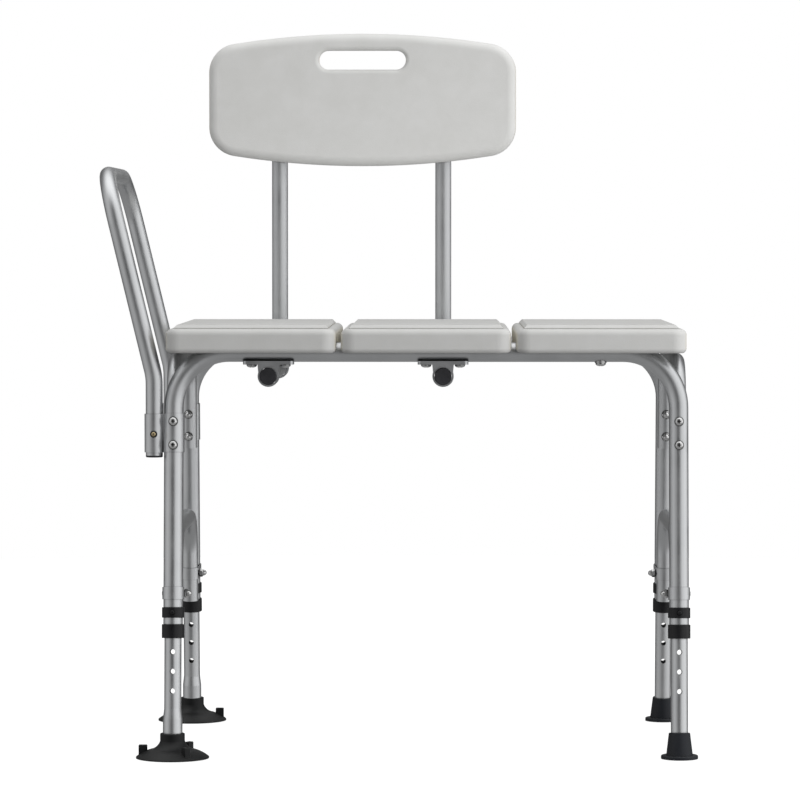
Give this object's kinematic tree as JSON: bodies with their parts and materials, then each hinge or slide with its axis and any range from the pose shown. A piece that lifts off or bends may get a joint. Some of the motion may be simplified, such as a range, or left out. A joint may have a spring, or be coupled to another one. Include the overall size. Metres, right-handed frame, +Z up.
{
  "type": "bath transfer bench",
  "caption": "Bath transfer bench with slatted plastic seat, backrest with hand hole, one arm rail, and height-adjustable legs on suction feet and rubber tips.",
  "frame": {"origin": "on the floor, under the middle of the whole bench's box, arm rail and feet included", "axes": "+Z up, +Y towards the backrest, +X to the right of somebody who faces the front of the seat"},
  "size_m": [0.7802, 0.5176, 0.9548],
  "materials": {
    "aluminium": "satin anodised, drawn tube",
    "bracket_metal": "satin pressed metal",
    "seat_plastic": "fine pebble texture",
    "screw_steel": "bright plated",
    "washer_steel": "bright zinc",
    "plug_plastic": "moulded",
    "black_plastic": "fine moulded",
    "button_metal": "worn plate",
    "rubber": "matt",
    "tip_rubber": "matt, slightly grey"
  },
  "bodies": {
    "bench_frame": {"front_frame_tube": "aluminium", "rear_frame_tube": "aluminium", "side_tube_left": "aluminium", "side_tube_right": "aluminium", "arch_brace_left": "aluminium", "arch_brace_right": "aluminium", "brace_clamp_front_left": "bracket_metal", "brace_clamp_rear_left": "bracket_metal", "brace_clamp_front_right": "bracket_metal", "brace_clamp_rear_right": "bracket_metal", "brace_bolts": "screw_steel", "brace_cap_nuts": "screw_steel", "frame_bolts": "screw_steel", "frame_nuts": "screw_steel", "saddle_washers": "washer_steel", "seat_panel_left": "seat_plastic", "seat_panel_middle": "seat_plastic", "seat_panel_right": "seat_plastic", "seat_screws": "screw_steel", "bracket_screws": "screw_steel", "post_bracket_front_left": "bracket_metal", "post_bracket_front_right": "bracket_metal", "post_bracket_rear_left": "bracket_metal", "post_bracket_rear_right": "bracket_metal", "rail_bracket_front": "bracket_metal", "rail_bracket_rear": "bracket_metal", "leg_collar_front_left": "black_plastic", "leg_collar_rear_left": "black_plastic", "leg_collar_front_right": "black_plastic", "leg_collar_rear_right": "black_plastic", "snap_ring_front_left": "black_plastic", "snap_ring_rear_left": "black_plastic", "snap_ring_front_right": "black_plastic", "snap_ring_rear_right": "black_plastic"},
    "backrest": {"backrest_panel": "seat_plastic", "back_post_left": "aluminium", "back_post_right": "aluminium", "back_post_plugs": "plug_plastic", "backrest_screws": "screw_steel", "backrest_washers": "washer_steel"},
    "arm_rail_loop": {"arm_rail": "aluminium", "arm_rail_plugs": "plug_plastic"},
    "leg_front_left": {"leg_extension_front_left": "aluminium", "snap_spring_front_left": "washer_steel", "suction_foot_front_left": "rubber"},
    "leg_rear_left": {"leg_extension_rear_left": "aluminium", "snap_spring_rear_left": "washer_steel", "suction_foot_rear_left": "rubber"},
    "leg_front_right": {"leg_extension_front_right": "aluminium", "snap_spring_front_right": "washer_steel", "rubber_tip_front_right": "tip_rubber"},
    "leg_rear_right": {"leg_extension_rear_right": "aluminium", "snap_spring_rear_right": "washer_steel", "rubber_tip_rear_right": "tip_rubber"},
    "button_front_left": {"snap_button_front_left": "black_plastic"},
    "button_rear_left": {"snap_button_rear_left": "black_plastic"},
    "button_front_right": {"snap_button_front_right": "black_plastic"},
    "button_rear_right": {"snap_button_rear_right": "black_plastic"},
    "rail_button_front": {"rail_button_front": "button_metal"},
    "rail_button_rear": {"rail_button_rear": "button_metal"}
  },
  "joints": [
    {"name": "backrest_slide", "type": "slide", "parent": "bench_frame", "child": "backrest", "axis": [0, 1, 0], "range_m": [0, 0.34]},
    {"name": "arm_rail_lift", "type": "slide", "parent": "bench_frame", "child": "arm_rail_loop", "axis": [0, 0, 1], "range_m": [0, 0.06]},
    {"name": "leg_height_front_left", "type": "slide", "parent": "bench_frame", "child": "leg_front_left", "axis": [0, -0.0958, -0.9954], "range_m": [-0.0762, 0.0508]},
    {"name": "leg_height_rear_left", "type": "slide", "parent": "bench_frame", "child": "leg_rear_left", "axis": [0, 0.0958, -0.9954], "range_m": [-0.0762, 0.0508]},
    {"name": "leg_height_front_right", "type": "slide", "parent": "bench_frame", "child": "leg_front_right", "axis": [0, -0.0958, -0.9954], "range_m": [-0.0762, 0.0508]},
    {"name": "leg_height_rear_right", "type": "slide", "parent": "bench_frame", "child": "leg_rear_right", "axis": [0, 0.0958, -0.9954], "range_m": [-0.0762, 0.0508]},
    {"name": "button_press_front_left", "type": "slide", "parent": "bench_frame", "child": "button_front_left", "axis": [0, 0.9954, -0.0958], "range_m": [0, 0.002], "stiffness_N_per_m": 2000, "springref_m": -0.001},
    {"name": "button_press_rear_left", "type": "slide", "parent": "bench_frame", "child": "button_rear_left", "axis": [0, -0.9954, -0.0958], "range_m": [0, 0.002], "stiffness_N_per_m": 2000, "springref_m": -0.001},
    {"name": "button_press_front_right", "type": "slide", "parent": "bench_frame", "child": "button_front_right", "axis": [0, 0.9954, -0.0958], "range_m": [0, 0.002], "stiffness_N_per_m": 2000, "springref_m": -0.001},
    {"name": "button_press_rear_right", "type": "slide", "parent": "bench_frame", "child": "button_rear_right", "axis": [0, -0.9954, -0.0958], "range_m": [0, 0.002], "stiffness_N_per_m": 2000, "springref_m": -0.001},
    {"name": "rail_button_press_front", "type": "slide", "parent": "bench_frame", "child": "rail_button_front", "axis": [0, 1, 0], "range_m": [0, 0.002], "stiffness_N_per_m": 2000, "springref_m": -0.001},
    {"name": "rail_button_press_rear", "type": "slide", "parent": "bench_frame", "child": "rail_button_rear", "axis": [0, -1, 0], "range_m": [0, 0.002], "stiffness_N_per_m": 2000, "springref_m": -0.001}
  ]
}
